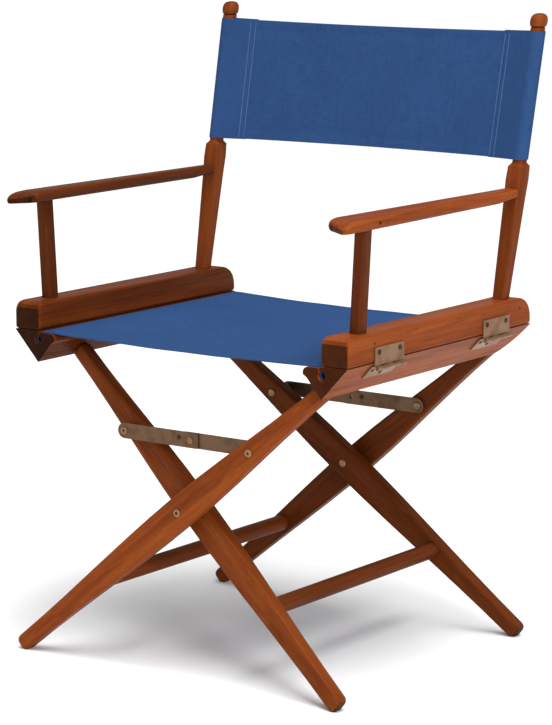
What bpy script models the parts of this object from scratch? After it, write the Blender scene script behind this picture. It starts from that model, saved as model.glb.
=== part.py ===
"""Folding director's chair with crossed wooden legs, level arms and a canvas seat and back.

Metres, +Z up. X runs across the chair and the sitter faces -Y. The origin is on the floor at the
centre of the chair. "right" is the +X side and "left" the -X side. Every piece is built for the
right or front side and mirrored where the other side needs it.
"""
import math

import bmesh
import bpy
from mathutils import Matrix, Vector

# ---- driving dimensions -------------------------------------------------------------------------
GAP = 0.0003                # play left between pieces that touch
CENTRE = Vector((0.0, -0.0142, 0.0))    # puts the middle of the whole chair over the origin

OVERALL_HEIGHT = 0.864      # top of the knobs
SEAT_Z = 0.444              # top of the seat rails, underside of the arm bases
ARM_BASE_X = 0.273          # outer face of an arm base
ARM_BASE_WIDTH = 0.042
ARM_BASE_HEIGHT = 0.038
ARM_BASE_HALF_LENGTH = 0.222
ARM_BASE_REAR_RADIUS = 0.028
ARM_BASE_FRONT_RADIUS = 0.014

RAIL_APEX = Vector((0.041, 0.042))      # lowest corner of a seat rail: inwards and down from its top edge
RAIL_FOOT_FACE = 0.034                  # width of the face that the legs enter
RAIL_LOBE_RADIUS = 0.0075
RAIL_REAR_RADIUS = 0.044
GROOVE_CENTRE = Vector((0.0400, 0.0125))
GROOVE_RADIUS = 0.0060
GROOVE_MOUTH = 0.0036
GROOVE_MOUTH_IN = 0.0030    # the mouth is this far inwards of the groove's centre
CANVAS_EXIT_IN = 0.0034     # the canvas leaves the groove this far inwards of its centre
SEAT_DOWEL_RADIUS = 0.0036
SEAT_DOWEL_HALF_LENGTH = 0.215

LEG_ANGLE = math.radians(39.8)
PIVOT_Z = 0.2235
LEG_THICKNESS = 0.021
LEG_FOOT_T = 0.3415         # from the pivot to the foot's end face
LEG_FOOT_HALF_WIDTH = 0.0110
LEG_MID_HALF_WIDTH = 0.0210
LEG_TOP_HALF_WIDTH = 0.0102
LEG_EDGE_RADIUS = 0.0040
OUTER_LEG_Y = 0.2190        # outer face of the outer legs at the pivot
OUTER_LEG_SPLAY = 0.050     # sideways run per unit of length, feet further out
INNER_LEG_Y = 0.1880
INNER_LEG_SPLAY = 0.125
STRETCHER_T = -0.176
STRETCHER_RADIUS = 0.0115
STRETCHER_SOCKET = 0.009

BRACE_T = 0.145             # from the leg's pivot to the brace's rivet
BRACE_HALF_HEIGHT = 0.0105
BRACE_PLATE = 0.0016
BRACE_OUTER_LAYER = 0.1896  # outer face of the plate that rides on the inner leg
BRACE_INNER_LAYER = 0.1876
BRACE_OVERLAP = 0.013       # plate beyond the brace's own joint
RIVET_SHANK = 0.0030
RIVET_HEAD = 0.0056
RIVET_HEAD_HEIGHT = 0.0016
BRACE_SPACER_RADIUS = 0.0065
PIVOT_SHANK = 0.0036
PIVOT_SPACER_RADIUS = 0.0110
PIVOT_SPACER_LENGTH = 0.0072

FRONT_POST_X = 0.2535
FRONT_POST_Y = -0.1708
FRONT_POST_SIZE = (0.0165, 0.0200)
POST_LEAN = 0.0075          # the front post leans out this far up to the armrest
ARMREST_Z = (0.6153, 0.6308)
ARMREST_FRONT_Y = -0.234
ARMREST_MIDDLE_X = 0.2584
ARMREST_ROLL = 0.058           # the outer edge of the armrest is lower, square to the leaning post
ARMREST_NOSE = 0.036           # length over which the top runs down to the front end
ARMREST_CORNER = 0.015         # length over which the front corners are rounded in plan
ARMREST_SKEW = 0.014           # the inner front corner is set back this far
BACK_POST_X = 0.2535
BACK_POST_Y = 0.1735        # at the top of the arm base
BACK_POST_RECLINE = 0.0806  # how far the knob is behind the post's foot
BACK_POST_LEAN = 0.0070
BACK_POST_FOOT = 0.0180
BACK_POST_SHOULDER = 0.0250
SHOULDER_Z = 0.6600
BACK_DOWEL_RADIUS = 0.0100
BACK_DOWEL_TOP_Z = 0.8450
KNOB_RADIUS = 0.0120

BACK_CANVAS_Z = (0.6690, 0.8400)
BACK_SLEEVE_INNER = 0.0107
CANVAS_THICKNESS = 0.0014
SEAT_SAG = 0.0035

HINGE_LENGTH = 0.066
HINGE_LEAF = 0.0267
UPPER_SCREW_RISE = 0.0133      # above the seam
HINGE_PLATE = 0.0018
HINGE_BARREL = 0.0028
HINGE_BORE = 0.0015
HINGE_PIN = 0.0012
HINGE_KNUCKLES = 5
HINGE_Y = (-0.130, 0.129)
HINGE_AXIS_OUT = 0.0045     # hinge line outside the arm base's face
HINGE_AXIS_DROP = 0.0067    # and below the seam between the arm base and the rail
SCREW_HEAD = 0.0034

# ---- derived ------------------------------------------------------------------------------------
ARM_TOP_Z = SEAT_Z + ARM_BASE_HEIGHT
HINGE_AXIS = Vector((ARM_BASE_X + HINGE_AXIS_OUT, 0.0, SEAT_Z - HINGE_AXIS_DROP))
PIVOT = Vector((0.0, 0.0, PIVOT_Z))
LEG_DIRECTION = Vector((math.cos(LEG_ANGLE), 0.0, math.sin(LEG_ANGLE)))
LEG_NORMAL = Vector((-math.sin(LEG_ANGLE), 0.0, math.cos(LEG_ANGLE)))
APEX = Vector((ARM_BASE_X - RAIL_APEX.x, 0.0, SEAT_Z - RAIL_APEX.y))
LEG_TOP_T = (APEX - PIVOT).dot(LEG_DIRECTION) - GAP
BRACE_PIVOT = PIVOT + BRACE_T * LEG_DIRECTION
BRACE_REACH = BRACE_PIVOT.x
RAIL_FACE = Vector((-RAIL_APEX.x, -RAIL_APEX.y)).normalized()
RAIL_FACE_OUT = Vector((-RAIL_FACE.y, RAIL_FACE.x))


# ---- materials ----------------------------------------------------------------------------------
def material(name, colour, roughness, metallic=0.0):
    made = bpy.data.materials.new(name)
    made.use_nodes = True
    shader = made.node_tree.nodes["Principled BSDF"]
    shader.inputs["Base Color"].default_value = (*colour, 1.0)
    shader.inputs["Roughness"].default_value = roughness
    shader.inputs["Metallic"].default_value = metallic
    made.diffuse_color = (*colour, 1.0)
    return made


# ---- mesh helpers -------------------------------------------------------------------------------
def clear_scene():
    for old in list(bpy.data.objects):
        bpy.data.objects.remove(old, do_unlink=True)


def loft(rings):
    """Skin a list of closed rings that have the same number of points, and cap both ends."""
    bm = bmesh.new()
    loops = [[bm.verts.new(p) for p in ring] for ring in rings]
    count = len(rings[0])
    for low, high in zip(loops, loops[1:]):
        for i in range(count):
            j = (i + 1) % count
            bm.faces.new((low[i], low[j], high[j], high[i]))
    bm.faces.new(loops[0][::-1])
    bm.faces.new(loops[-1])
    bmesh.ops.recalc_face_normals(bm, faces=bm.faces)
    return bm


def prism_y(outline, y0, y1):
    """Extrude an outline of (x, z) points along Y."""
    return loft([[(x, y, z) for x, z in outline] for y in (y0, y1)])


def prism_x(outline, x0, x1):
    """Extrude an outline of (y, z) points along X."""
    return loft([[(x, y, z) for y, z in outline] for x in (x0, x1)])


def arc(centre, radius, start, end, steps):
    """Points on an arc, with angles in degrees."""
    angles = [math.radians(start + (end - start) * i / steps) for i in range(steps + 1)]
    return [(centre[0] + radius * math.cos(a), centre[1] + radius * math.sin(a)) for a in angles]


def turned(profile, origin, axis, segments=24):
    """Revolve (radius, height) points about an axis through origin, closed at both ends."""
    turn = Vector((0, 0, 1)).rotation_difference(Vector(axis)).to_matrix()
    rings = []
    for radius, height in profile:
        ring = []
        for i in range(segments):
            a = 2 * math.pi * i / segments
            ring.append(Vector(origin) + turn @ Vector((radius * math.cos(a), radius * math.sin(a), height)))
        rings.append(ring)
    return loft(rings)


def tube(inner, outer, origin, axis, length, segments=24):
    """A washer or bush: a ring section revolved about an axis."""
    turn = Vector((0, 0, 1)).rotation_difference(Vector(axis)).to_matrix()
    bm = bmesh.new()
    section = ((inner, 0.0), (outer, 0.0), (outer, length), (inner, length))
    rings = []
    for i in range(segments):
        a = 2 * math.pi * i / segments
        points = [Vector((r * math.cos(a), r * math.sin(a), h)) for r, h in section]
        rings.append([bm.verts.new(Vector(origin) + turn @ p) for p in points])
    for i in range(segments):
        here, following = rings[i], rings[(i + 1) % segments]
        for k in range(4):
            n = (k + 1) % 4
            bm.faces.new((here[k], here[n], following[n], following[k]))
    bmesh.ops.recalc_face_normals(bm, faces=bm.faces)
    return bm


def rounded_rectangle(width, depth, radius, steps=3):
    """A ring of (x, y) points about the origin with rounded corners."""
    points = []
    for cx, cy, start in ((1, 1, 0), (-1, 1, 90), (-1, -1, 180), (1, -1, 270)):
        centre = (cx * (width / 2 - radius), cy * (depth / 2 - radius))
        points += arc(centre, radius, start, start + 90, steps)
    return points


def flip(bm, axis):
    """Mirror a mesh in the plane through the origin at right angles to an axis (0 = X, 1 = Y)."""
    scale = [1.0, 1.0, 1.0]
    scale[axis] = -1.0
    bmesh.ops.transform(bm, matrix=Matrix.Diagonal((*scale, 1.0)), verts=bm.verts)
    bmesh.ops.reverse_faces(bm, faces=bm.faces)
    return bm


def add(name, bm, finish, body, smooth_angle=35.0):
    """Make a named object whose origin is its body's joint, and hang it on that body's empty."""
    bmesh.ops.translate(bm, vec=CENTRE - body.location, verts=bm.verts)
    mesh = bpy.data.meshes.new(name)
    bm.to_mesh(mesh)
    bm.free()
    mesh.shade_smooth()
    mesh.set_sharp_from_angle(angle=math.radians(smooth_angle))
    obj = bpy.data.objects.new(name, mesh)
    obj.data.materials.append(finish)
    bpy.context.scene.collection.objects.link(obj)
    obj.parent = body
    return obj


def soften(obj, width, segments=2, angle=60.0):
    """Round the edges that are sharper than an angle."""
    bevel = obj.modifiers.new("soft_edges", "BEVEL")
    bevel.width = width
    bevel.segments = segments
    bevel.limit_method = "ANGLE"
    bevel.angle_limit = math.radians(angle)
    bevel.use_clamp_overlap = True
    return bevel


def cut(obj, bm, name):
    """Cut a shape out of an object with an exact Boolean."""
    mesh = bpy.data.meshes.new(name)
    bmesh.ops.translate(bm, vec=CENTRE - obj.parent.location, verts=bm.verts)
    bm.to_mesh(mesh)
    bm.free()
    cutter = bpy.data.objects.new(name, mesh)
    bpy.context.scene.collection.objects.link(cutter)
    cutter.parent = obj.parent
    cutter.hide_render = True
    cutter.display_type = "WIRE"
    boolean = obj.modifiers.new(name, "BOOLEAN")
    boolean.operation = "DIFFERENCE"
    boolean.solver = "EXACT"
    boolean.object = cutter


def body_empty(name, location):
    empty = bpy.data.objects.new(name, None)
    empty.location = Vector(location) + CENTRE
    bpy.context.scene.collection.objects.link(empty)
    return empty


# ---- arms ---------------------------------------------------------------------------------------
def arm_base():
    """The long block on the seat rail, with its top edge rounded down at both ends."""
    top, half = ARM_TOP_Z, ARM_BASE_HALF_LENGTH
    rear, front = ARM_BASE_REAR_RADIUS, ARM_BASE_FRONT_RADIUS
    outline = [(-half, SEAT_Z), (half, SEAT_Z)]
    outline += arc((half - rear, top - rear), rear, 0, 90, 7)
    outline += arc((front - half, top - front), front, 90, 180, 4)
    return prism_x(outline, ARM_BASE_X - ARM_BASE_WIDTH, ARM_BASE_X)


def front_post():
    """A slim upright that leans outwards up to the armrest."""
    section = rounded_rectangle(*FRONT_POST_SIZE, 0.0042)
    foot = [(FRONT_POST_X + x, FRONT_POST_Y + y, ARM_TOP_Z + GAP) for x, y in section]
    top = []
    for x, y in section:
        across = FRONT_POST_X + POST_LEAN + x
        top.append((across, FRONT_POST_Y + y, ARMREST_Z[0] - GAP - armrest_drop(across)))
    return loft([foot, top])


def back_axis(z):
    """Centre of the back post at a height."""
    rise = (z - ARM_TOP_Z) / (OVERALL_HEIGHT - ARM_TOP_Z)
    return Vector((BACK_POST_X + BACK_POST_LEAN * rise, BACK_POST_Y + BACK_POST_RECLINE * rise, z))


def back_post():
    """Square below the canvas, swelling to a shoulder, and a round dowel inside the canvas sleeve."""
    swell_z = SHOULDER_Z - 0.045
    neck = BACK_DOWEL_RADIUS
    stations = (
        (ARM_TOP_Z + GAP, BACK_POST_FOOT / 2, 0.0030),
        (swell_z, BACK_POST_SHOULDER / 2 - 0.0008, 0.0040),
        (SHOULDER_Z - 0.018, BACK_POST_SHOULDER / 2, 0.0042),
        (SHOULDER_Z, BACK_POST_SHOULDER / 2 - 0.0005, 0.0045),
        (SHOULDER_Z + 0.0035, neck + 0.0008, neck),
        (SHOULDER_Z + 0.0045, neck, neck - 0.00001),
        (BACK_DOWEL_TOP_Z, neck, neck - 0.00001),
    )
    rings = []
    for z, half, corner in stations:
        centre = back_axis(z)
        section = rounded_rectangle(2 * half, 2 * half, corner, 5)
        rings.append([(centre.x + x, centre.y + y, z) for x, y in section])
    return loft(rings)


def knob():
    """A turned knob on top of the back post."""
    low, high = back_axis(BACK_DOWEL_TOP_Z + GAP), back_axis(OVERALL_HEIGHT)
    height = OVERALL_HEIGHT - BACK_DOWEL_TOP_Z - GAP
    outline = ((0.72, 0.0), (0.92, 0.10), (1.0, 0.30), (1.0, 0.55), (0.90, 0.78), (0.66, 0.94), (0.30, 1.0))
    rings = []
    for radius, rise in outline:
        centre = low.lerp(high, rise)
        ring = arc((centre.x, centre.y), radius * KNOB_RADIUS, 0, 345, 23)
        rings.append([(x, y, BACK_DOWEL_TOP_Z + GAP + rise * height) for x, y in ring])
    return loft(rings)


def armrest_drop(x):
    """How far the armrest is below its middle line at a distance across."""
    return ARMREST_ROLL * (x - ARMREST_MIDDLE_X)


def armrest():
    """A flat bar with rounded edges, narrowing to the back post, whose top runs down to its front end."""
    low, high = ARMREST_Z
    middle = (low + high) / 2
    recline = BACK_POST_RECLINE / (OVERALL_HEIGHT - ARM_TOP_Z)
    post = back_axis(middle)
    rear_y = post.y - BACK_POST_SHOULDER / 2 - 0.0006
    front_in, front_out = FRONT_POST_X - 0.0170, FRONT_POST_X + 0.0265
    rear_in, rear_out = post.x - 0.0120, post.x + 0.0118
    length = rear_y - ARMREST_FRONT_Y
    rings = []
    stations = [ARMREST_NOSE * (1 - math.cos(math.radians(a))) for a in (10, 24, 38, 52, 66, 90)]
    stations += [0.10, 0.20, 0.30, length - 0.045, length]
    for run in stations:
        along = run / length
        inside = front_in + (rear_in - front_in) * along
        outside = front_out + (rear_out - front_out) * along
        bottom, top, skew = low, high, 0.0
        if run < ARMREST_NOSE:
            fall = 1 - math.sqrt(1 - (1 - run / ARMREST_NOSE) ** 2)
            top -= (high - low - 0.004) * fall
            skew = ARMREST_SKEW * (1 - run / ARMREST_NOSE)
        if run < ARMREST_CORNER:
            round_off = 1 - math.sqrt(1 - (1 - run / ARMREST_CORNER) ** 2)
            inside += 0.015 * round_off
            outside -= 0.010 * round_off
        if run == stations[-1]:
            bottom += 0.0035
        width, depth = outside - inside, top - bottom
        section = rounded_rectangle(width, depth, min(0.0055, depth * 0.45))
        ring = []
        for x, z in section:
            across = (inside + outside) / 2 + x
            height = (top + bottom) / 2 + z
            y = ARMREST_FRONT_Y + run + skew * (outside - across) / width
            if run == stations[-1]:
                y += recline * (height - middle)
            ring.append((across, y, height - armrest_drop(across)))
        rings.append(ring)
    return loft(rings)


# ---- seat rails ---------------------------------------------------------------------------------
def rail_outline():
    """Cross-section of the right seat rail: flat top, slanted outer face, leg face and a rounded lobe."""
    top = SEAT_Z - GAP
    foot_face_end = APEX + RAIL_FOOT_FACE * LEG_NORMAL
    groove = (ARM_BASE_X - GROOVE_CENTRE.x, SEAT_Z - GROOVE_CENTRE.y)
    mouth_x = groove[0] - GROOVE_MOUTH_IN
    half = GROOVE_MOUTH / 2
    reach = math.degrees(math.asin((mouth_x + half - groove[0]) / GROOVE_RADIUS))
    reach_far = math.degrees(math.asin((mouth_x - half - groove[0]) / GROOVE_RADIUS))
    lobe_top = SEAT_Z - 0.0022
    lobe = (foot_face_end.x + 0.0015, lobe_top - RAIL_LOBE_RADIUS)
    outline = [(ARM_BASE_X - 0.0006, top), (mouth_x + half, top)]
    outline += arc(groove, GROOVE_RADIUS, 90 - reach, -270 - reach_far, 14)
    outline += [(mouth_x - half, lobe_top)]
    outline += arc(lobe, RAIL_LOBE_RADIUS, 90, 200, 6)
    outline += [(foot_face_end.x, foot_face_end.z), (APEX.x, APEX.z), (APEX.x + 0.0012, APEX.z - 0.0002)]
    return outline


def seat_rail():
    return prism_y(rail_outline(), -ARM_BASE_HALF_LENGTH, ARM_BASE_HALF_LENGTH)


def rail_rear_cutter():
    """Rounds the rear end of a rail, from its top edge down to its lowest edge."""
    half, radius = ARM_BASE_HALF_LENGTH, RAIL_REAR_RADIUS
    low = SEAT_Z - radius
    curve = arc((half - radius, SEAT_Z), radius, 0, -90, 8)
    outline = curve + [(half - radius, low - 0.02), (half + 0.02, low - 0.02), (half + 0.02, SEAT_Z)]
    return prism_x(outline, ARM_BASE_X - 0.10, ARM_BASE_X + 0.01)


def seat_dowel():
    centre = (ARM_BASE_X - GROOVE_CENTRE.x, -SEAT_DOWEL_HALF_LENGTH, SEAT_Z - GROOVE_CENTRE.y)
    length = 2 * SEAT_DOWEL_HALF_LENGTH
    return turned(((SEAT_DOWEL_RADIUS, 0.0), (SEAT_DOWEL_RADIUS, length)), centre, (0, 1, 0), 14)


# ---- legs ---------------------------------------------------------------------------------------
def leg_half_width(t):
    """Half the width of a leg at a distance from the pivot: widest there, slim at both ends."""
    end, span = (LEG_FOOT_HALF_WIDTH, LEG_FOOT_T) if t < 0 else (LEG_TOP_HALF_WIDTH, LEG_TOP_T)
    return end + (LEG_MID_HALF_WIDTH - end) * math.cos(math.pi / 2 * min(1.0, abs(t) / span)) ** 2


def floor_s(t):
    """Distance from the leg's axis to the floor, across the leg, at a distance from the pivot."""
    return -(PIVOT_Z + t * LEG_DIRECTION.z) / LEG_NORMAL.z


def leg_outline():
    """Outline in (t, s): t runs up the leg from the pivot and s across it, with a flat foot."""
    steps = 13
    reach = LEG_FOOT_T - 0.008
    stations = [-reach + (LEG_TOP_T + reach) * i / steps for i in range(steps + 1)]
    floor_t = -(PIVOT_Z - LEG_FOOT_HALF_WIDTH * LEG_NORMAL.z) / LEG_DIRECTION.z
    lower = [(floor_t, -LEG_FOOT_HALF_WIDTH)]
    lower += [(t, -leg_half_width(t)) for t in stations if t > floor_t + 0.01]
    upper = [(t, leg_half_width(t)) for t in reversed(stations)]
    corner = 0.0080
    end = arc((-LEG_FOOT_T + corner, LEG_FOOT_HALF_WIDTH - corner), corner, 90, 180, 4)
    return lower + upper + end[1:] + [(-LEG_FOOT_T, floor_s(-LEG_FOOT_T))]


def leg(face_y, splay):
    """A front leg whose top is on the right; its outer face is at -face_y at the pivot."""
    rings = []
    for depth in (0.0, LEG_THICKNESS):
        ring = []
        for t, s in leg_outline():
            point = PIVOT + t * LEG_DIRECTION + s * LEG_NORMAL
            ring.append((point.x, -face_y + depth + splay * t, point.z))
        rings.append(ring)
    return loft(rings)


def leg_drill(t, radius, y0, y1, segments=20):
    """A cylinder along Y through the leg's axis at a distance from the pivot."""
    centre = PIVOT + t * LEG_DIRECTION
    return turned(((radius, 0.0), (radius, y1 - y0)), (centre.x, y0, centre.z), (0, 1, 0), segments)


def stretcher(face_y, splay):
    """A dowel between the front and rear legs of one frame, let into both."""
    end = face_y - LEG_THICKNESS - splay * STRETCHER_T + STRETCHER_SOCKET - GAP
    centre = PIVOT + STRETCHER_T * LEG_DIRECTION
    r = STRETCHER_RADIUS
    profile = ((r - 0.001, 0.0), (r, 0.001), (r, 2 * end - 0.001), (r - 0.001, 2 * end))
    return turned(profile, (centre.x, -end, centre.z), (0, 1, 0), 24)


# ---- rivets and spacers -------------------------------------------------------------------------
def rivet(x, z, y0, y1, shank, head):
    """A tubular rivet along Y: a domed head at both ends, hollow at the front."""
    bore, dome = shank * 0.55, RIVET_HEAD_HEIGHT
    length = y1 - y0
    profile = (
        (bore, 0.004), (bore, 0.0004 - dome), (bore + 0.0006, -dome), (head * 0.75, -dome),
        (head, -dome * 0.35), (head, 0.0), (shank, 0.0), (shank, length), (head, length),
        (head, length + dome * 0.4), (head * 0.7, length + dome),
    )
    return turned(profile, (x, y0, z), (0, 1, 0), 16)


# ---- brace --------------------------------------------------------------------------------------
def brace_plate(layer):
    """One half of the right-hand brace: a flat strap from its leg to the middle of the chair."""
    z, half = BRACE_PIVOT.z, BRACE_HALF_HEIGHT
    outline = arc((BRACE_REACH, z), half, -90, 90, 10)
    corner = 0.003
    left = -BRACE_OVERLAP
    outline += arc((left + corner, z + half - corner), corner, 90, 180, 3)
    outline += arc((left + corner, z - half + corner), corner, 180, 270, 3)
    return prism_y(outline, -layer, -layer + BRACE_PLATE)


def brace_hole(x, layer, radius):
    base = (x, -layer - 0.002, BRACE_PIVOT.z)
    return turned(((radius, 0.0), (radius, BRACE_PLATE + 0.004)), base, (0, 1, 0), 16)


# ---- hinges -------------------------------------------------------------------------------------
def knuckle_outline(inside, outside):
    """Cross-section of a rolled knuckle: (along the leaf, away from the wood) about the hinge line."""
    neck = HINGE_BARREL + 0.0006
    ring = [(neck, outside), (neck, inside)]
    ring += arc((0, 0), HINGE_BARREL, -80, -80 - 268, 14)
    ring += arc((0, 0), HINGE_BORE, -80 - 268, -70, 14)
    return ring


def hinge_leaf(y_mid, along, away, wood, taken):
    """A leaf with rolled knuckles in the taken slots, built from cells that share an edge."""
    inside = wood + GAP
    outside = inside + HINGE_PLATE
    neck = HINGE_BARREL + 0.0006
    plate = [(neck, inside), (neck, outside), (HINGE_LEAF, outside), (HINGE_LEAF, inside)]
    knuckle = knuckle_outline(inside, outside)
    pitch = HINGE_LENGTH / HINGE_KNUCKLES
    start = y_mid - HINGE_LENGTH / 2
    cuts = {start, start + HINGE_LENGTH}
    spans = []
    for slot in taken:
        low = start + slot * pitch + (GAP if slot else 0.0)
        high = start + (slot + 1) * pitch - (GAP if slot < HINGE_KNUCKLES - 1 else 0.0)
        spans.append((low, high))
        cuts.update((low, high))
    stations = sorted(cuts)
    bm = bmesh.new()
    known = {}

    def vertex(point, y):
        key = (round(point[0], 7), round(point[1], 7), round(y, 7))
        if key not in known:
            flat = HINGE_AXIS + point[0] * along + point[1] * away
            known[key] = bm.verts.new((flat.x, y, flat.z))
        return known[key]

    def has_knuckle(y):
        return any(low < y < high for low, high in spans)

    def side(outline, skip, y0, y1):
        for i, here in enumerate(outline):
            after = outline[(i + 1) % len(outline)]
            if {here, after} != skip:
                bm.faces.new([vertex(here, y0), vertex(after, y0), vertex(after, y1), vertex(here, y1)])

    shared = {(neck, inside), (neck, outside)}
    before = False
    for y0, y1 in zip(stations, stations[1:]):
        now = has_knuckle((y0 + y1) / 2)
        side(plate, shared if now else None, y0, y1)
        if now:
            side(knuckle, shared, y0, y1)
        if now != before:
            bm.faces.new([vertex(p, y0) for p in knuckle])
        before = now
    if before:
        bm.faces.new([vertex(p, stations[-1]) for p in knuckle])
    for y in (stations[0], stations[-1]):
        bm.faces.new([vertex(p, y) for p in plate])
    bmesh.ops.recalc_face_normals(bm, faces=bm.faces)
    return bm


def hinge_pin(y_mid):
    length = HINGE_LENGTH + 0.002
    base = (HINGE_AXIS.x, y_mid - length / 2, HINGE_AXIS.z)
    return turned(((HINGE_PIN, 0.0), (HINGE_PIN, length)), base, (0, 1, 0), 12)


def screw_head(y, z):
    """A domed screw head on the upper leaf of a hinge."""
    x = ARM_BASE_X + GAP + HINGE_PLATE + GAP
    profile = ((SCREW_HEAD, 0.0), (SCREW_HEAD, 0.0004), (SCREW_HEAD * 0.6, 0.0011))
    return turned(profile, (x, y, z), (1, 0, 0), 14)


# ---- canvas -------------------------------------------------------------------------------------
def seat_canvas():
    """The seat sheet: a shallow trough between the rails whose edges turn down into the grooves."""
    edge = ARM_BASE_X - GROOVE_CENTRE.x - CANVAS_EXIT_IN
    thick = CANVAS_THICKNESS
    top_z = SEAT_Z - GAP
    steps = 12
    upper = []
    for i in range(steps + 1):
        x = -edge + 0.006 + (2 * edge - 0.012) * i / steps
        upper.append((x, top_z - SEAT_SAG * (1 - (x / (edge - 0.006)) ** 2)))
    lower = [(x, z - thick) for x, z in reversed(upper)]
    low_z = SEAT_Z - 0.0072
    half = 0.0007
    right = [(edge + half, top_z - 0.0012), (edge + half, low_z), (edge - half, low_z)]
    right.append((edge - half, top_z - thick - 0.0004))
    left = [(-x, z) for x, z in reversed(right)]
    outline = upper + right + lower + left
    return prism_y(outline, -ARM_BASE_HALF_LENGTH + 0.004, ARM_BASE_HALF_LENGTH - 0.004)


def back_canvas():
    """The back sheet: one layer across the front and an open sleeve round the dowel at each side."""
    low, high = BACK_CANVAS_Z
    inner = BACK_SLEEVE_INNER
    outer = inner + CANVAS_THICKNESS
    sleeve = arc((0, 0), outer, -90, 140, 14) + arc((0, 0), inner, 140, -90, 14)
    rings = []
    for z in (low, high):
        centre = back_axis(z)
        right = [(centre.x + x, centre.y + y, z) for x, y in sleeve]
        left = [(-x, y, z) for x, y, z in reversed(right)]
        rings.append(right + left)
    return loft(rings)


# ---- assembly -----------------------------------------------------------------------------------
SIDES = {"right": 1, "left": -1}


def build():
    clear_scene()
    wood = material("stained_wood", (0.27, 0.075, 0.022), 0.42)
    dark_wood = material("dowel_wood", (0.16, 0.045, 0.016), 0.55)
    canvas = material("canvas", (0.022, 0.085, 0.25), 0.85)
    bronze = material("bronzed_steel", (0.30, 0.20, 0.13), 0.42, 0.85)

    hinge = {"right": HINGE_AXIS, "left": Vector((-HINGE_AXIS.x, 0.0, HINGE_AXIS.z))}
    arms = {side: body_empty(f"arm_{side}_body", hinge[side]) for side in SIDES}
    frames = {"outer": body_empty("outer_frame_body", hinge["right"])}
    frames["inner"] = body_empty("inner_frame_body", PIVOT)

    build_arms(arms, wood)
    build_frames(frames, wood, dark_wood, bronze)
    build_braces(frames, bronze)
    build_hinges(arms, frames, bronze)
    add("seat_canvas", seat_canvas(), canvas, frames["outer"])
    add("back_canvas", back_canvas(), canvas, arms["right"])


def build_arms(arms, wood):
    pieces = {"arm_base": arm_base, "front_post": front_post, "armrest": armrest}
    pieces.update({"back_post": back_post, "knob": knob})
    for side, sign in SIDES.items():
        for name, shape in pieces.items():
            bm = shape() if sign > 0 else flip(shape(), 0)
            obj = add(f"{name}_{side}", bm, wood, arms[side])
            if name == "arm_base":
                soften(obj, 0.0040)


def build_frames(frames, wood, dark_wood, bronze):
    """The outer frame carries the right seat rail, and the inner frame the left one."""
    layout = {"outer": (OUTER_LEG_Y, OUTER_LEG_SPLAY, 1), "inner": (INNER_LEG_Y, INNER_LEG_SPLAY, -1)}
    for frame, (face_y, splay, sign) in layout.items():
        body = frames[frame]
        side = "right" if sign > 0 else "left"
        for end in ("front", "rear"):
            obj = add(f"{frame}_{end}_leg", oriented(leg(face_y, splay), sign, end), wood, body)
            soften(obj, LEG_EDGE_RADIUS)
            for label, t, radius in (("pivot", 0.0, PIVOT_SHANK), ("brace", BRACE_T, RIVET_SHANK)):
                hole = leg_drill(t, radius + GAP, -face_y - 0.06, -face_y + 0.08)
                cut(obj, oriented(hole, sign, end), f"{frame}_{end}_{label}_hole")
            inside = -face_y + LEG_THICKNESS + splay * STRETCHER_T
            socket = leg_drill(STRETCHER_T, STRETCHER_RADIUS + GAP, inside - STRETCHER_SOCKET, inside + 0.02, 24)
            cut(obj, oriented(socket, sign, end), f"{frame}_{end}_socket")
        add(f"{frame}_stretcher", oriented(stretcher(face_y, splay), sign, "front"), wood, body)
        rail = add(f"seat_rail_{side}", oriented(seat_rail(), sign, "front"), wood, body)
        cut(rail, oriented(rail_rear_cutter(), sign, "front"), f"seat_rail_{side}_rear_end")
        add(f"seat_dowel_{side}", oriented(seat_dowel(), sign, "front"), dark_wood, body)

    for end in ("front", "rear"):
        near = -OUTER_LEG_Y - OUTER_LEG_SPLAY * RIVET_HEAD - GAP
        far = -INNER_LEG_Y + LEG_THICKNESS + INNER_LEG_SPLAY * RIVET_HEAD + GAP
        pin = rivet(0.0, PIVOT_Z, near, far, PIVOT_SHANK, RIVET_HEAD)
        add(f"{end}_pivot_rivet", oriented(pin, 1, end), bronze, frames["outer"])
        start = -OUTER_LEG_Y + LEG_THICKNESS + OUTER_LEG_SPLAY * PIVOT_SPACER_RADIUS + GAP
        bush = tube(PIVOT_SHANK + GAP, PIVOT_SPACER_RADIUS, (0, start, PIVOT_Z), (0, 1, 0), PIVOT_SPACER_LENGTH)
        add(f"{end}_pivot_spacer", oriented(bush, 1, end), bronze, frames["outer"])


def oriented(bm, sign, end):
    """Mirror a shape made for the right side at the front to the side and end it belongs to."""
    if sign < 0:
        bm = flip(bm, 0)
    if end == "rear":
        bm = flip(bm, 1)
    return bm


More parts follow.
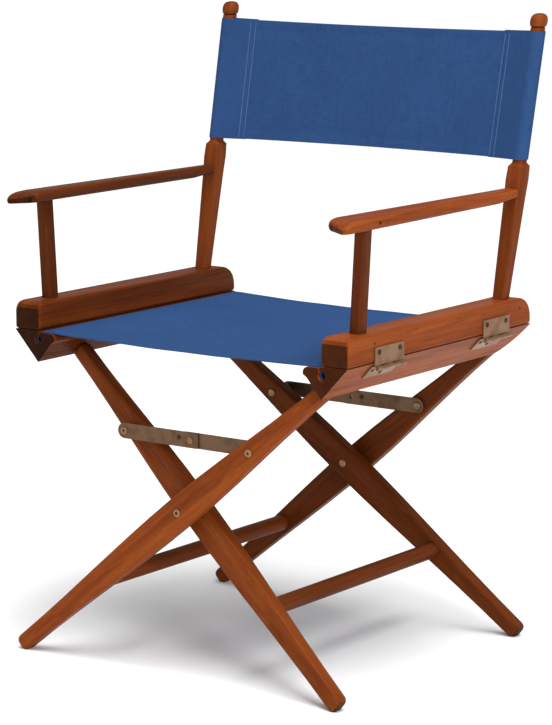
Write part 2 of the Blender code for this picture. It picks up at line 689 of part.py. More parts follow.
def build_braces(frames, bronze):
    """Each brace is two straps: one rides on the outer leg and one, outside it, on the inner leg."""
    x, z = BRACE_PIVOT.x, BRACE_PIVOT.z
    outer_face = -OUTER_LEG_Y + OUTER_LEG_SPLAY * BRACE_T
    inner_face = -INNER_LEG_Y + INNER_LEG_SPLAY * BRACE_T
    outer_layer, inner_layer = -BRACE_INNER_LAYER, -BRACE_OUTER_LAYER
    for end in ("front", "rear"):
        for frame, sign in (("outer", 1), ("inner", -1)):
            layer = BRACE_INNER_LAYER if frame == "outer" else BRACE_OUTER_LAYER
            body = body_empty(f"{end}_{frame}_brace_body", Vector((sign * x, 0.0, z)))
            strap = add(f"{end}_brace_{frame}", oriented(brace_plate(layer), sign, end), bronze, body)
            for label, at, radius in (("leg", x, RIVET_SHANK + GAP), ("joint", 0.0, 0.0029)):
                hole = brace_hole(at, layer, radius)
                cut(strap, oriented(hole, sign, end), f"{end}_brace_{frame}_{label}_hole")
            if frame == "inner":
                near, far = inner_layer - GAP, inner_layer + BRACE_PLATE - 0.0001
                profile = ((0.0025, far - near), (0.0025, 0.0), (0.0048, 0.0), (0.0048, -0.0006), (0.0030, -0.0014))
                pin = turned(profile, (0.0, near, z), (0, 1, 0), 16)
                add(f"{end}_brace_joint_rivet", oriented(pin, 1, end), bronze, body)

        slope = OUTER_LEG_SPLAY * RIVET_HEAD
        pin = rivet(x, z, outer_face - slope - GAP, outer_layer + BRACE_PLATE + GAP, RIVET_SHANK, RIVET_HEAD)
        add(f"{end}_brace_rivet_outer", oriented(pin, 1, end), bronze, frames["outer"])
        start = outer_face + LEG_THICKNESS + OUTER_LEG_SPLAY * BRACE_SPACER_RADIUS + GAP
        bush = tube(RIVET_SHANK + GAP, BRACE_SPACER_RADIUS, (x, start, z), (0, 1, 0), outer_layer - GAP - start)
        add(f"{end}_brace_spacer_outer", oriented(bush, 1, end), bronze, frames["outer"])

        slope = INNER_LEG_SPLAY * RIVET_HEAD
        pin = rivet(x, z, inner_layer - GAP, inner_face + LEG_THICKNESS + slope + GAP, RIVET_SHANK, RIVET_HEAD)
        add(f"{end}_brace_rivet_inner", oriented(pin, -1, end), bronze, frames["inner"])
        start = inner_layer + BRACE_PLATE + GAP
        stop = inner_face - INNER_LEG_SPLAY * BRACE_SPACER_RADIUS - GAP
        bush = tube(RIVET_SHANK + GAP, BRACE_SPACER_RADIUS, (x, start, z), (0, 1, 0), stop - start)
        add(f"{end}_brace_spacer_inner", oriented(bush, -1, end), bronze, frames["inner"])


def build_hinges(arms, frames, bronze):
    """Two hinges on each side join an arm base to its seat rail along their outer edge."""
    up, out = Vector((0, 0, 1)), Vector((1, 0, 0))
    down = Vector((RAIL_FACE.x, 0, RAIL_FACE.y))
    slanted_out = Vector((RAIL_FACE_OUT.x, 0, RAIL_FACE_OUT.y))
    if slanted_out.x < 0:
        slanted_out = -slanted_out
    rail_wood = -(HINGE_AXIS - Vector((ARM_BASE_X, 0.0, SEAT_Z - GAP))).dot(slanted_out)
    for side, sign in SIDES.items():
        rail_body = frames["outer"] if sign > 0 else frames["inner"]
        for place, y in zip(("front", "rear"), HINGE_Y):
            upper = hinge_leaf(y, up, out, -HINGE_AXIS_OUT, (0, 2, 4))
            lower = hinge_leaf(y, down, slanted_out, rail_wood, (1, 3))
            name = f"{place}_hinge_{side}"
            add(f"{name}_upper_leaf", oriented(upper, sign, "front"), bronze, arms[side])
            add(f"{name}_lower_leaf", oriented(lower, sign, "front"), bronze, rail_body)
            add(f"{name}_pin", oriented(hinge_pin(y), sign, "front"), bronze, arms[side])
            for number, offset in enumerate((-0.0235, 0.0235), start=1):
                head = screw_head(y + offset, SEAT_Z + UPPER_SCREW_RISE)
                add(f"{name}_screw_{number}", oriented(head, sign, "front"), bronze, arms[side])


build()
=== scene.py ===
"""Looks of the folding director's chair: stained wood, bronzed fittings, blue canvas, floor and light."""
import math

import bmesh
import bpy
import numpy as np
from mathutils import Matrix, Vector


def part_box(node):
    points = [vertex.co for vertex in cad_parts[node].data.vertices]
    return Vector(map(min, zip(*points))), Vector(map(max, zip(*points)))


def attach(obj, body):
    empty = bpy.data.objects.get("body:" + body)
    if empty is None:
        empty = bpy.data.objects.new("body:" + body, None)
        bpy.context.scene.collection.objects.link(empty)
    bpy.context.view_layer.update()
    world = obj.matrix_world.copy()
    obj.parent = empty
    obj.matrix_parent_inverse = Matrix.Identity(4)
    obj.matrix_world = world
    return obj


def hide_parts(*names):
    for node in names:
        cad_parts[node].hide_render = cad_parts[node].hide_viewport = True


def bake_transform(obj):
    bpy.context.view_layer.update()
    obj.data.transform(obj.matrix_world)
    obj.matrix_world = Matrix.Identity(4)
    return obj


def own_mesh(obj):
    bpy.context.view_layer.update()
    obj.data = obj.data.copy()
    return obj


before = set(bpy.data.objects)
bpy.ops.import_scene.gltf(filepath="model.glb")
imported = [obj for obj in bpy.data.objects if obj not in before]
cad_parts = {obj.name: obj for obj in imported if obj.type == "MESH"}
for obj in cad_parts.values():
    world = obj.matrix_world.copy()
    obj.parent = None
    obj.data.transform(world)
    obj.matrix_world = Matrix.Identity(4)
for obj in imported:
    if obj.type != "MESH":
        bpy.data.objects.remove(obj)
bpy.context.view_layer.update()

# ---- places read from the frame ------------------------------------------------------------------
RAIL_LO, RAIL_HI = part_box("seat_rail_right")
BASE_LO, BASE_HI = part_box("arm_base_right")
DOWEL_LO, DOWEL_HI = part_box("seat_dowel_right")
SEAT_LO, SEAT_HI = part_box("seat_canvas")
BACK_LO, BACK_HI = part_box("back_canvas")
POST_LO, POST_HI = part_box("back_post_right")
KNOB_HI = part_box("knob_right")[1]
REST_LO, REST_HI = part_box("armrest_right")
CENTRE_Y = (RAIL_LO[1] + RAIL_HI[1]) / 2
SEAT_Z = BASE_LO[2]

CANVAS_THICK = 0.0012
THREAD_RADIUS = 0.00045
LEG_ANGLE = math.radians(39.8)


# ---- node helpers --------------------------------------------------------------------------------
class Nodes:
    """A short way to build a material's node tree."""

    def __init__(self, name):
        self.material = bpy.data.materials.new(name)
        self.material.use_nodes = True
        self.tree = self.material.node_tree
        self.shader = self.tree.nodes["Principled BSDF"]

    def add(self, kind, **values):
        node = self.tree.nodes.new(kind)
        for key, value in values.items():
            if hasattr(node, key):
                setattr(node, key, value)
            else:
                node.inputs[key.replace("_", " ")].default_value = value
        return node

    def link(self, out, into):
        self.tree.links.new(out, into)

    def coordinates(self, rotation=(0, 0, 0), scale=(1, 1, 1), shift=(0, 0, 0)):
        place = self.add("ShaderNodeTexCoord")
        turn = self.add("ShaderNodeMapping", vector_type="POINT")
        turn.inputs["Rotation"].default_value = rotation
        turn.inputs["Location"].default_value = shift
        stretch = self.add("ShaderNodeVectorMath", operation="MULTIPLY")
        stretch.inputs[1].default_value = scale
        self.link(place.outputs["Object"], turn.inputs["Vector"])
        self.link(turn.outputs["Vector"], stretch.inputs[0])
        return stretch.outputs["Vector"]

    def noise(self, vector, scale, detail=4.0, roughness=0.5, distortion=0.0):
        node = self.add("ShaderNodeTexNoise")
        node.inputs["Scale"].default_value = scale
        node.inputs["Detail"].default_value = detail
        node.inputs["Roughness"].default_value = roughness
        node.inputs["Distortion"].default_value = distortion
        self.link(vector, node.inputs["Vector"])
        return node.outputs["Fac"]

    def ramp(self, value, stops):
        node = self.add("ShaderNodeValToRGB")
        elements = node.color_ramp.elements
        while len(elements) < len(stops):
            elements.new(0.5)
        for element, (place, colour) in zip(elements, stops):
            element.position = place
            element.color = (*colour, 1.0) if len(colour) == 3 else colour
        self.link(value, node.inputs["Fac"])
        return node.outputs["Color"]

    def grey_ramp(self, value, stops):
        return self.ramp(value, [(place, (grey, grey, grey)) for place, grey in stops])

    def mix(self, a, b, factor, blend="MIX"):
        node = self.add("ShaderNodeMix", data_type="RGBA", blend_type=blend)
        for value, socket in ((factor, node.inputs[0]), (a, node.inputs[6]), (b, node.inputs[7])):
            if isinstance(value, bpy.types.NodeSocket):
                self.link(value, socket)
            elif isinstance(value, tuple):
                socket.default_value = (*value, 1.0)
            else:
                socket.default_value = value
        return node.outputs[2]

    def math(self, operation, a, b=0.0):
        node = self.add("ShaderNodeMath", operation=operation)
        for value, socket in ((a, node.inputs[0]), (b, node.inputs[1])):
            if isinstance(value, bpy.types.NodeSocket):
                self.link(value, socket)
            else:
                socket.default_value = value
        return node.outputs[0]

    def bump(self, height, strength, distance, normal=None):
        node = self.add("ShaderNodeBump")
        node.inputs["Strength"].default_value = strength
        node.inputs["Distance"].default_value = distance
        self.link(height, node.inputs["Height"])
        if normal is not None:
            self.link(normal, node.inputs["Normal"])
        return node.outputs["Normal"]

    def finish(self, colour=None, roughness=None, normal=None, **fixed):
        for value, name in ((colour, "Base Color"), (roughness, "Roughness"), (normal, "Normal")):
            if value is not None:
                self.link(value, self.shader.inputs[name])
        for name, value in fixed.items():
            self.shader.inputs[name.replace("_", " ")].default_value = value
        return self.material


# ---- materials -----------------------------------------------------------------------------------
WOOD_DARK, WOOD_MID, WOOD_LIGHT = (0.100, 0.0185, 0.0030), (0.218, 0.046, 0.0074), (0.320, 0.078, 0.0135)


# Per-piece multiplier on the wood colour. It is partly each piece's own tone and partly painted shade: pieces that
# stand in shade, such as the left arm, the rear legs, the stretchers and the seat rail and dowels, are darkened to
# look shaded.
WOOD_TONES_AND_PAINTED_SHADE = (
    ("front_post_left", 0.36), ("front_post", 0.42), ("back_post", 0.74), ("knob", 0.85),
    ("armrest_left", 0.42), ("arm_base_left", 0.56), ("seat_rail_left", 0.50), ("seat_dowel", 0.45),
    ("outer_front_leg", 0.98), ("inner_front_leg", 0.76), ("inner_rear_leg", 0.46), ("outer_rear_leg", 0.50),
    ("outer_stretcher", 0.66), ("inner_stretcher", 0.52),
)


def wood(name, axis, seed, tone_and_shade=1.0):
    """Reddish-brown stained hardwood whose grain runs along an axis, with darker end grain."""
    made = Nodes(name)
    turn = Vector(axis).rotation_difference(Vector((1, 0, 0))).to_euler()
    shift = (seed * 0.37, seed * 0.113, seed * 0.071)
    broad = made.noise(made.coordinates(turn, (2.2, 30, 30), shift), 1.0, 3.0, 0.5, 0.6)
    figure = made.noise(made.coordinates(turn, (7, 150, 150), shift), 1.0, 4.0, 0.6, 1.2)
    fibre = made.noise(made.coordinates(turn, (45, 1500, 1500), shift), 1.0, 2.0, 0.6)
    pores = made.noise(made.coordinates(turn, (60, 900, 900), shift), 1.0, 1.0, 0.4)

    grain = made.math("ADD", made.math("MULTIPLY", broad, 0.55), made.math("MULTIPLY", figure, 0.45))
    # The tone darkens the whole piece. Coming from the tone table, it is partly the piece's own tone and partly
    # painted shade.
    ramp_tones_with_shade = [tuple(c * tone_and_shade for c in shade) for shade in (WOOD_DARK, WOOD_MID, WOOD_LIGHT)]
    colour = made.ramp(grain, [(0.28, ramp_tones_with_shade[0]), (0.50, ramp_tones_with_shade[1]), (0.74, ramp_tones_with_shade[2])])
    colour = made.mix(colour, made.grey_ramp(fibre, [(0.25, 0.74), (0.65, 1.0)]), 0.55, "MULTIPLY")
    colour = made.mix(colour, made.grey_ramp(pores, [(0.24, 0.42), (0.33, 1.0)]), 0.60, "MULTIPLY")

    place = made.add("ShaderNodeTexCoord")
    along = made.add("ShaderNodeVectorMath", operation="DOT_PRODUCT")
    along.inputs[1].default_value = axis
    made.link(place.outputs["Normal"], along.inputs[0])
    end = made.math("ABSOLUTE", along.outputs["Value"])
    colour = made.mix(colour, made.grey_ramp(end, [(0.70, 1.0), (0.93, 0.20)]), 1.0, "MULTIPLY")

    roughness = made.grey_ramp(figure, [(0.3, 0.48), (0.7, 0.36)])
    normal = made.bump(fibre, 0.30, 0.00025)
    normal = made.bump(figure, 0.22, 0.0004, normal)
    return made.finish(colour, roughness, normal, Specular_IOR_Level=0.05)


def bronze(name, tint=1.0, axis_scale=(900, 60, 900)):
    """Antique-bronzed sheet steel: brushed, with darker tarnish in patches."""
    made = Nodes(name)
    brushed = made.noise(made.coordinates(scale=axis_scale), 1.0, 3.0, 0.6)
    patches = made.noise(made.coordinates(), 55.0, 3.0, 0.5)
    light, dark = (0.250 * tint, 0.140 * tint, 0.072 * tint), (0.190 * tint, 0.103 * tint, 0.052 * tint)
    colour = made.ramp(patches, [(0.30, dark), (0.52, light)])
    colour = made.mix(colour, made.grey_ramp(brushed, [(0.3, 0.82), (0.7, 1.0)]), 0.7, "MULTIPLY")
    roughness = made.grey_ramp(patches, [(0.3, 0.58), (0.65, 0.40)])
    return made.finish(colour, roughness, made.bump(brushed, 0.12, 0.0002), Metallic=0.78)


def canvas(name, turn=(0, 0, 0)):
    """Plain-weave blue cotton canvas: crossing threads, slubs and a soft nap."""
    made = Nodes(name)
    base = made.coordinates(turn)
    waves = []
    for direction in ("X", "Y"):
        wave = made.add("ShaderNodeTexWave", wave_type="BANDS", bands_direction=direction)
        wave.inputs["Scale"].default_value = 1 / (0.0009 * math.pi)
        wave.inputs["Distortion"].default_value = 0.6
        wave.inputs["Detail"].default_value = 1.0
        wave.inputs["Detail Scale"].default_value = 2.0
        made.link(base, wave.inputs["Vector"])
        waves.append(wave.outputs["Fac"])
    weave = made.math("MULTIPLY", waves[0], waves[1])
    warp = made.noise(made.coordinates(turn, (1400, 60, 60)), 1.0, 2.0)
    weft = made.noise(made.coordinates(turn, (60, 1400, 1400)), 1.0, 2.0)
    slub = made.math("MULTIPLY", made.math("ADD", warp, weft), 0.5)
    cloudy = made.noise(made.coordinates(turn), 9.0, 4.0, 0.55)
    colour = made.ramp(slub, [(0.32, (0.018, 0.051, 0.144)), (0.68, (0.031, 0.077, 0.200))])
    colour = made.mix(colour, made.grey_ramp(weave, [(0.0, 0.86), (0.5, 1.0)]), 0.7, "MULTIPLY")
    colour = made.mix(colour, made.grey_ramp(cloudy, [(0.3, 0.90), (0.7, 1.06)]), 0.8, "MULTIPLY")
    roughness = made.grey_ramp(weave, [(0.0, 0.95), (0.6, 0.80)])
    normal = made.bump(weave, 0.35, 0.0003)
    normal = made.bump(cloudy, 0.25, 0.0016, normal)
    return made.finish(colour, roughness, normal, Specular_IOR_Level=0.04)


def thread():
    made = Nodes("blue_thread")
    twist = made.noise(made.coordinates(scale=(1, 1, 3)), 1500.0, 2.0)
    colour = made.ramp(twist, [(0.3, (0.050, 0.115, 0.27)), (0.7, (0.12, 0.21, 0.42))])
    return made.finish(colour, None, made.bump(twist, 0.4, 0.0002), Roughness=0.6)


def plain_floor():
    made = Nodes("studio_floor")
    fine = made.noise(made.coordinates(), 3.0, 3.0)
    colour = made.ramp(fine, [(0.3, (0.885, 0.885, 0.885)), (0.7, (0.90, 0.90, 0.90))])
    return made.finish(colour, None, None, Roughness=0.85, Specular_IOR_Level=0.1)


# ---- mesh helpers --------------------------------------------------------------------------------
def mesh_object(name, vertices, faces, material, smooth=40.0):
    mesh = bpy.data.meshes.new(name)
    mesh.from_pydata([tuple(v) for v in vertices], [], faces)
    bm = bmesh.new()
    bm.from_mesh(mesh)
    bmesh.ops.recalc_face_normals(bm, faces=bm.faces)
    bm.to_mesh(mesh)
    bm.free()
    mesh.shade_smooth()
    mesh.set_sharp_from_angle(angle=math.radians(smooth))
    obj = bpy.data.objects.new(name, mesh)
    obj.data.materials.append(material)
    bpy.context.scene.collection.objects.link(obj)
    return obj


def cloth_sheet(name, points, thickness, material):
    """A closed sheet from a grid of mid-surface points (rows x columns x 3) and a thickness grid."""
    rows, columns = points.shape[:2]
    across = np.gradient(points, axis=0)
    along = np.gradient(points, axis=1)
    normal = np.cross(across, along)
    normal /= np.linalg.norm(normal, axis=2, keepdims=True)
    half = np.asarray(thickness)[..., None] / 2
    vertices = np.concatenate([(points + normal * half).reshape(-1, 3), (points - normal * half).reshape(-1, 3)])
    count = rows * columns
    faces = []
    for r in range(rows - 1):
        for c in range(columns - 1):
            a, b = r * columns + c, r * columns + c + 1
            d, e = a + columns, b + columns
            faces.append((a, b, e, d))
            faces.append((a + count, d + count, e + count, b + count))
    rim = [r * columns for r in range(rows)] + [(rows - 1) * columns + c for c in range(1, columns)]
    rim += [r * columns + columns - 1 for r in range(rows - 2, -1, -1)] + list(range(columns - 2, 0, -1))
    for a, b in zip(rim, rim[1:] + rim[:1]):
        faces.append((a, a + count, b + count, b))
    return mesh_object(name, vertices, faces, material)


def arc(centre, radius, start, end, steps):
    angles = [math.radians(start + (end - start) * i / steps) for i in range(steps + 1)]
    return [(centre[0] + radius * math.cos(a), centre[1] + radius * math.sin(a)) for a in angles]


def disc_stack(name, origin, axis, profile, material, segments=20):
    """Turn (radius, height) points about an axis; both ends are closed."""
    turn = Vector((0, 0, 1)).rotation_difference(Vector(axis).normalized()).to_matrix()
    vertices, faces = [], []
    for radius, height in profile:
        for i in range(segments):
            a = 2 * math.pi * i / segments
            vertices.append(Vector(origin) + turn @ Vector((radius * math.cos(a), radius * math.sin(a), height)))
    for ring in range(len(profile) - 1):
        for i in range(segments):
            j = (i + 1) % segments
            a, b = ring * segments, (ring + 1) * segments
            faces.append((a + i, a + j, b + j, b + i))
    faces.append(tuple(range(segments))[::-1])
    faces.append(tuple(range((len(profile) - 1) * segments, len(profile) * segments)))
    return mesh_object(name, vertices, faces, material)


def stitch_row(places, directions, outward, length, material, name):
    """One mesh of short, slightly arched thread stitches at the places given."""
    vertices, faces, sides = [], [], 6
    stations = ((-0.5, 0.0, 0.55), (-0.3, 0.55, 1.0), (0.0, 0.8, 1.05), (0.3, 0.55, 1.0), (0.5, 0.0, 0.55))
    for place, direction in zip(places, directions):
        side = direction.cross(outward).normalized()
        start = len(vertices)
        for run, lift, width in stations:
            centre = place + direction * run * length + outward * lift * THREAD_RADIUS
            for i in range(sides):
                a = 2 * math.pi * i / sides
                ring = side * math.cos(a) + outward * math.sin(a)
                vertices.append(centre + ring * THREAD_RADIUS * width)
        for s in range(len(stations) - 1):
            for i in range(sides):
                j = (i + 1) % sides
                a, b = start + s * sides, start + (s + 1) * sides
                faces.append((a + i, a + j, b + j, b + i))
        faces.append(tuple(start + i for i in range(sides))[::-1])
        faces.append(tuple(start + (len(stations) - 1) * sides + i for i in range(sides)))
    return mesh_object(name, vertices, faces, material)


# ---- wood ----------------------------------------------------------------------------------------
def dress_frame():
    """Give every CAD node that stays its own finish, with the grain along the piece."""
    along_y, up = (0, 1, 0), (0, 0, 1)
    recline = Vector((0.0, 0.0806, OVERALL_HEIGHT - BASE_HI[2])).normalized()
    legs = {
        "outer": Vector((math.cos(LEG_ANGLE), 0, math.sin(LEG_ANGLE))),
        "inner": Vector((-math.cos(LEG_ANGLE), 0, math.sin(LEG_ANGLE))),
    }
    steel, strap = bronze("bronzed_hinge", 1.10), bronze("bronzed_strap", 0.62, (60, 900, 900))
    steel_dark, screw = bronze("bronzed_rivet", 1.20, (300, 300, 300)), bronze("dark_screw", 0.22, (300, 300, 300))
    for seed, (name, node) in enumerate(sorted(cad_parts.items()), start=1):
        if "canvas" in name:
            continue
        if "screw" in name:
            finish = screw
        elif "rivet" in name or "spacer" in name:
            finish = steel_dark
        elif "hinge" in name:
            finish = steel
        elif "brace" in name:
            finish = strap
        else:
            axis = along_y
            if "_leg" in name:
                axis = legs[name.split("_")[0]]
            elif name.startswith(("back_post", "knob")):
                axis = recline
            elif name.startswith("front_post"):
                axis = up
            # The piece's tone from the table: partly its own tone and partly painted shade for pieces that stand
            # in shade.
            tone_and_shade = next((value for key, value in WOOD_TONES_AND_PAINTED_SHADE if name.startswith(key)), 1.0)
            finish = wood(f"wood_{name}", axis, seed, tone_and_shade)
        node.data.materials.clear()
        node.data.materials.append(finish)
        node.data.shade_smooth()
        node.data.set_sharp_from_angle(angle=math.radians(32))
    return screw, steel_dark


OVERALL_HEIGHT = KNOB_HI[2]


# ---- seat canvas ---------------------------------------------------------------------------------
def seat_path():
    """Mid-line of the seat sheet in (x, z), from the left groove to the right one."""
    dowel_x = (DOWEL_LO[0] + DOWEL_HI[0]) / 2
    dowel_z = (DOWEL_LO[2] + DOWEL_HI[2]) / 2
    wrap = (DOWEL_HI[0] - DOWEL_LO[0]) / 2 + CANVAS_THICK * 0.62
    top_z = SEAT_Z - 0.0013
    bend = 0.0022
    exit_x = dowel_x - 0.0034
    half = arc((dowel_x, dowel_z), wrap, 75, -170, 16)
    half += [(exit_x - 0.0002, dowel_z + 0.004)]
    half += arc((exit_x - bend, top_z - bend), bend, 0, 90, 4)
    edge = exit_x - bend
    flat = edge - 0.010
    half += [(edge - 0.005, top_z), (flat, top_z)]
    sag = 0.0038
    steps = 44
    middle = []
    for i in range(1, steps):
        x = flat - 2 * flat * i / steps
        middle.append((x, top_z - sag * (1 - (x / flat) ** 2)))
    mirrored = [(-x, z) for x, z in reversed(half)]
    return half + middle + mirrored


def seat_canvas(cloth):
    path = np.array(seat_path())
    half = (SEAT_HI[1] - SEAT_LO[1]) / 2
    hem = 0.011
    ys = np.concatenate([
        [-half, -half + 0.0008, -half + hem - 0.0006, -half + hem + 0.0006],
        np.linspace(-half + 0.02, half - 0.02, 46),
        [half - hem - 0.0006, half - hem + 0.0006, half - 0.0008, half],
    ])
    points = np.zeros((len(path), len(ys), 3))
    points[..., 0] = path[:, 0][:, None]
    points[..., 1] = ys[None, :] + CENTRE_Y
    points[..., 2] = path[:, 1][:, None]
    inside = np.clip(1 - (np.abs(path[:, 0]) / 0.205) ** 4, 0, 1)[:, None]
    across = ys[None, :] / half
    ripples = 0.0005 * np.sin(path[:, 0][:, None] * 58 + 2.1 * across) * np.cos(across * 4.3)
    slack = -0.0018 * (1 - across ** 2)
    points[..., 2] += inside * (ripples + slack)
    points[..., 1] -= np.sign(across) * inside * 0.0035 * np.abs(across) ** 6
    thickness = np.full(points.shape[:2], CANVAS_THICK)
    hemmed = np.abs(ys) > half - hem
    flat_part = (np.abs(path[:, 0]) < 0.2285)[:, None]
    thickness = np.where(hemmed[None, :] & flat_part, CANVAS_THICK * 1.35, thickness)
    sheet = cloth_sheet("seat_sheet", points, thickness, cloth)
    length = float(np.linalg.norm(np.diff(path, axis=0), axis=1).sum())
    return sheet, length, 2 * half


# ---- back canvas ---------------------------------------------------------------------------------
def back_axis(z):
    """Centre of the right dowel at a height, between the post's foot and the knob."""
    foot = Vector((POST_LO[0] + 0.009, BACK_FOOT_Y, BASE_HI[2]))
    rise = (z - foot.z) / (OVERALL_HEIGHT - foot.z)
    return Vector((foot.x + 0.007 * rise, foot.y + 0.0806 * rise, z))


BACK_FOOT_Y = POST_LO[1] + 0.009
SLEEVE_RADIUS = 0.0112
POCKET = 0.0500
SEAM_ROWS = (0.0405, 0.0485)


def layer_gap(inward):
    """Half the distance between the two layers of a sleeve at a distance inwards from the dowel."""
    share = min(max(inward / POCKET, 0.0), 1.0)
    return SLEEVE_RADIUS * (1 - share) ** 1.25 + CANVAS_THICK * 0.62 * share


def back_heights(count):
    low, high = BACK_LO[2], BACK_HI[2]
    hem = 0.010
    edge = [low, low + 0.0008, low + hem - 0.0005, low + hem + 0.0005]
    middle = list(np.linspace(low + hem + 0.006, high - hem - 0.006, count))
    return edge + middle + [high - hem - 0.0005, high - hem + 0.0005, high - 0.0008, high]


def back_point(x_share, z, depth, inward_from=None):
    """A point on the back between the dowels: x_share runs from -1 (left) to 1 (right)."""
    axis = back_axis(z)
    return np.array((axis.x * x_share, axis.y + depth, z))


def back_panel(cloth):
    """The single layer between the two sewn pockets, with a slight belly."""
    heights = back_heights(22)
    middle_z = (BACK_LO[2] + BACK_HI[2]) / 2
    half_height = (BACK_HI[2] - BACK_LO[2]) / 2
    width = back_axis(middle_z).x
    shares = np.linspace(1 - POCKET / width, POCKET / width - 1, 40)
    points = np.zeros((len(shares), len(heights), 3))
    thickness = np.full(points.shape[:2], CANVAS_THICK)
    for i, share in enumerate(shares):
        inward = (1 - abs(share)) * width
        for j, z in enumerate(heights):
            belly = 0.0065 * max(0.0, 1 - share ** 2 * 1.35) ** 1.0
            ripple = 0.0006 * math.sin(share * 9 + z * 31) * (1 - abs(share)) ** 0.5
            point = back_point(share, z, -layer_gap(inward) + belly + ripple)
            v = (z - middle_z) / half_height
            point[2] -= 0.0030 * (1 - share ** 2) * max(0.0, v) ** 5
            point[2] += 0.0015 * (1 - share ** 2) * max(0.0, -v) ** 5
            points[i, j] = point
            if abs(abs(v) * half_height) > half_height - 0.010:
                thickness[i, j] = CANVAS_THICK * 1.35
    return cloth_sheet("back_panel", points, thickness, cloth)


def back_pocket(side, cloth):
    """The canvas from the seam in front, round the dowel and back to the seam behind."""
    heights = back_heights(22)
    middle_z = (BACK_LO[2] + BACK_HI[2]) / 2
    width = back_axis(middle_z).x
    edges = [POCKET, 0.0445, 0.038, 0.030, 0.022, 0.015, 0.009, 0.004]
    turns = [math.radians(a) for a in np.linspace(-90, 90, 17)]
    profile = [(e, -1, None) for e in edges] + [(0.0, 0, a) for a in turns] + [(e, 1, None) for e in edges[::-1]]
    points = np.zeros((len(profile), len(heights), 3))
    for i, (inward, layer, turn) in enumerate(profile):
        share = 1 - inward / width
        belly = 0.0065 * max(0.0, 1 - share ** 2 * 1.35)
        for j, z in enumerate(heights):
            axis = back_axis(z)
            if layer:
                points[i, j] = back_point(share, z, layer * layer_gap(inward) + belly)
            else:
                points[i, j] = (
                    axis.x + SLEEVE_RADIUS * math.cos(turn), axis.y + SLEEVE_RADIUS * math.sin(turn), z)
    points[..., 0] *= side
    name = "back_pocket_right" if side > 0 else "back_pocket_left"
    return cloth_sheet(name, points, np.full(points.shape[:2], CANVAS_THICK), cloth)


def back_stitches(side, front, material):
    """Two parallel rows of stitches down each sleeve, on the front or on the back layer."""
    pitch, length = 0.0034, 0.0027
    places, directions = [], []
    width = back_axis((BACK_LO[2] + BACK_HI[2]) / 2).x
    steps = int((BACK_HI[2] - BACK_LO[2] - 0.006) / pitch)
    for inward in SEAM_ROWS:
        share = 1 - inward / width
        belly = 0.0065 * max(0.0, 1 - share ** 2 * 1.35)
        depth = belly + (-1 if front else 1) * (layer_gap(inward) + CANVAS_THICK * 0.5)
        for k in range(steps):
            z = BACK_LO[2] + 0.004 + pitch * k
            spot, after = back_point(share, z, depth), back_point(share, z + 0.001, depth)
            spot[0] *= side
            after[0] *= side
            places.append(Vector(spot))
            directions.append((Vector(after) - Vector(spot)).normalized())
    outward = Vector((0, -1 if front else 1, 0))
    label = "front" if front else "rear"
    name = f"back_stitches_{label}_{'right' if side > 0 else 'left'}"
    return stitch_row(places, directions, outward, length, material, name)


# ---- small fittings ------------------------------------------------------------------------------
def lower_leaf_screws(material):
    """Three domed screws in each lower hinge leaf, on the slanted face of the rail."""
    slope = Vector((-0.041, 0, -0.042)).normalized()
    outward = Vector((-slope.z, 0, slope.x))
    hinge_x, hinge_z = BASE_HI[0], SEAT_Z
    made = []
    for side, body in ((1, "outer_frame"), (-1, "inner_frame")):
        for place in ("front", "rear"):
            low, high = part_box(f"{place}_hinge_right_lower_leaf")
            middle = (low[1] + high[1]) / 2
            for number, (offset, reach) in enumerate(((-0.025, 0.013), (0.0, 0.021), (0.025, 0.013)), start=1):
                centre = Vector((hinge_x, middle + offset, hinge_z)) + slope * reach + outward * 0.0021
                axis = outward.copy()
                centre.x *= side
                axis.x *= side
                label = "right" if side > 0 else "left"
                name = f"lower_screw_{place}_{label}_{number}"
                screw = disc_stack(name, centre, axis, SCREW_PROFILE, material, 16)
                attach(screw, body)
                made.append(screw)
    return made


SCREW_PROFILE = ((0.0034, 0.0), (0.0034, 0.0004), (0.0024, 0.0010), (0.0012, 0.0012), (0.0010, 0.0004))


def wood_pins(material):
    """Small dark pin heads that lock the posts in the arm bases and armrests."""
    places = []
    for y in (BASE_LO[1] + 0.060, BASE_HI[1] - 0.030):
        places.append((Vector((BASE_HI[0], y, BASE_HI[2] - 0.013)), "arm_base"))
    places.append((Vector((REST_HI[0] - 0.0004, REST_LO[1] + 0.075, REST_HI[2] - 0.009)), "armrest"))
    for side, body in ((1, "arm_right"), (-1, "arm_left")):
        for number, (place, piece) in enumerate(places, start=1):
            spot = Vector((place.x * side, place.y, place.z))
            label = "right" if side > 0 else "left"
            pin = disc_stack(
                f"pin_{piece}_{label}_{number}", spot, (side, 0, 0),
                ((0.0016, -0.0006), (0.0016, 0.0001), (0.0009, 0.0003)), material, 12)
            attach(pin, body)


def brace_stops(material):
    """A small stop rivet beside the middle joint of every brace strap, on the face clear of its partner."""
    for end in ("front", "rear"):
        boxes = {half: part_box(f"{end}_brace_{half}") for half in ("outer", "inner")}
        for half, partner, x in (("outer", "inner", 0.0185), ("inner", "outer", -0.0185)):
            low, high = boxes[half]
            facing = -1 if low[1] < boxes[partner][0][1] else 1
            y = low[1] + 0.0002 if facing < 0 else high[1] - 0.0002
            stop = disc_stack(
                f"brace_stop_{end}_{half}", (x, y, (low[2] + high[2]) / 2 + 0.002), (0, facing, 0),
                ((0.0032, 0.0), (0.0032, 0.0007), (0.0018, 0.0012)), material, 14)
            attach(stop, f"{end}_brace_{half}_link")


# ---- stage ---------------------------------------------------------------------------------------
def area_light(name, place, target, size, power, colour=(1, 1, 1)):
    data = bpy.data.lights.new(name, "AREA")
    data.shape = "DISK"
    data.size = size
    data.energy = power
    data.color = colour
    obj = bpy.data.objects.new(name, data)
    obj.location = place
    obj.rotation_euler = (Vector(target) - Vector(place)).to_track_quat("-Z", "Y").to_euler()
    bpy.context.scene.collection.objects.link(obj)


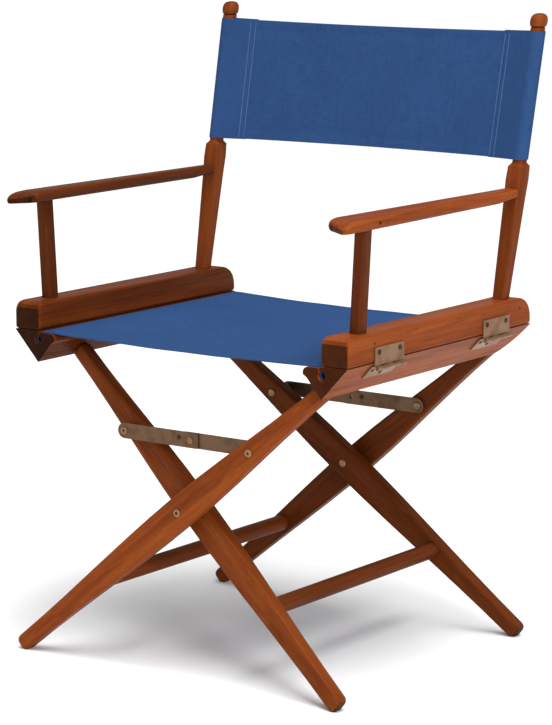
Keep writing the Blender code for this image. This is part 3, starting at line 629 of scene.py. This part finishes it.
def stage():
    size = 30.0
    floor = mesh_object(
        "floor", [(-size, -size, -0.0004), (size, -size, -0.0004), (size, size, -0.0004), (-size, size, -0.0004)],
        [(0, 1, 2, 3)], plain_floor())
    world = bpy.data.worlds.new("studio")
    world.use_nodes = True
    world.node_tree.nodes["Background"].inputs["Color"].default_value = (1.0, 1.0, 1.0, 1.0)
    world.node_tree.nodes["Background"].inputs["Strength"].default_value = 0.42
    bpy.context.scene.world = world
    target = (0.0, 0.0, 0.40)
    area_light("overhead", (0.2, 0.1, 3.2), target, 2.2, 30)
    area_light("key", (2.4, -1.8, 1.5), target, 1.0, 40)
    area_light("fill", (-2.2, -2.2, 1.3), target, 2.2, 6)
    sun = bpy.data.lights.new("wide_sun", "SUN")
    sun.energy = 2.6
    sun.angle = math.radians(40)
    sun_obj = bpy.data.objects.new("wide_sun", sun)
    sun_obj.rotation_euler = Vector((0.30, -0.22, 0.93)).to_track_quat("Z", "Y").to_euler()
    bpy.context.scene.collection.objects.link(sun_obj)
    bpy.context.scene.view_settings.view_transform = "Standard"


def camera():
    """The standing viewer's camera: from the front right, from above the knobs, looking down."""
    azimuth, elevation = math.radians(35.8), math.radians(10.15)
    target = Vector((0.0056, -0.0181, 0.3941))
    distance = 3.936
    back = Vector((math.sin(azimuth) * math.cos(elevation), -math.cos(azimuth) * math.cos(elevation),
                   math.sin(elevation)))
    right = Vector((math.cos(azimuth), math.sin(azimuth), 0.0))
    up = back.cross(right)
    data = bpy.data.cameras.new("camera")
    data.lens = 143.4
    data.sensor_width = 36.0
    obj = bpy.data.objects.new("camera", data)
    turn = Matrix((right, up, back)).transposed().to_4x4()
    obj.matrix_world = Matrix.Translation(target + back * distance) @ turn
    bpy.context.scene.collection.objects.link(obj)
    bpy.context.scene.camera = obj


# ---- build ---------------------------------------------------------------------------------------
def main():
    camera()
    stage()
    screw, steel_dark = dress_frame()
    recline = math.atan2(0.0806, OVERALL_HEIGHT - BASE_HI[2])
    seat_cloth = canvas("blue_canvas_seat")
    back_cloth = canvas("blue_canvas_back", (math.radians(90) + recline, 0, 0))
    yarn = thread()

    sheet, length, width = seat_canvas(seat_cloth)
    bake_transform(sheet)
    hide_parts("seat_canvas")

    panel = back_panel(back_cloth)
    for side, body, label in ((1, "arm_right", "right"), (-1, "arm_left", "left")):
        pocket = back_pocket(side, back_cloth)
        rows = [back_stitches(side, front, yarn) for front in (True, False)]
        for piece in [pocket] + rows:
            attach(piece, body)
    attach(panel, "arm_right")
    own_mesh(panel)
    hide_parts("back_canvas")

    lower_leaf_screws(screw)
    wood_pins(wood("wood_pin", (1, 0, 0), 71, 0.30))
    brace_stops(screw)


main()
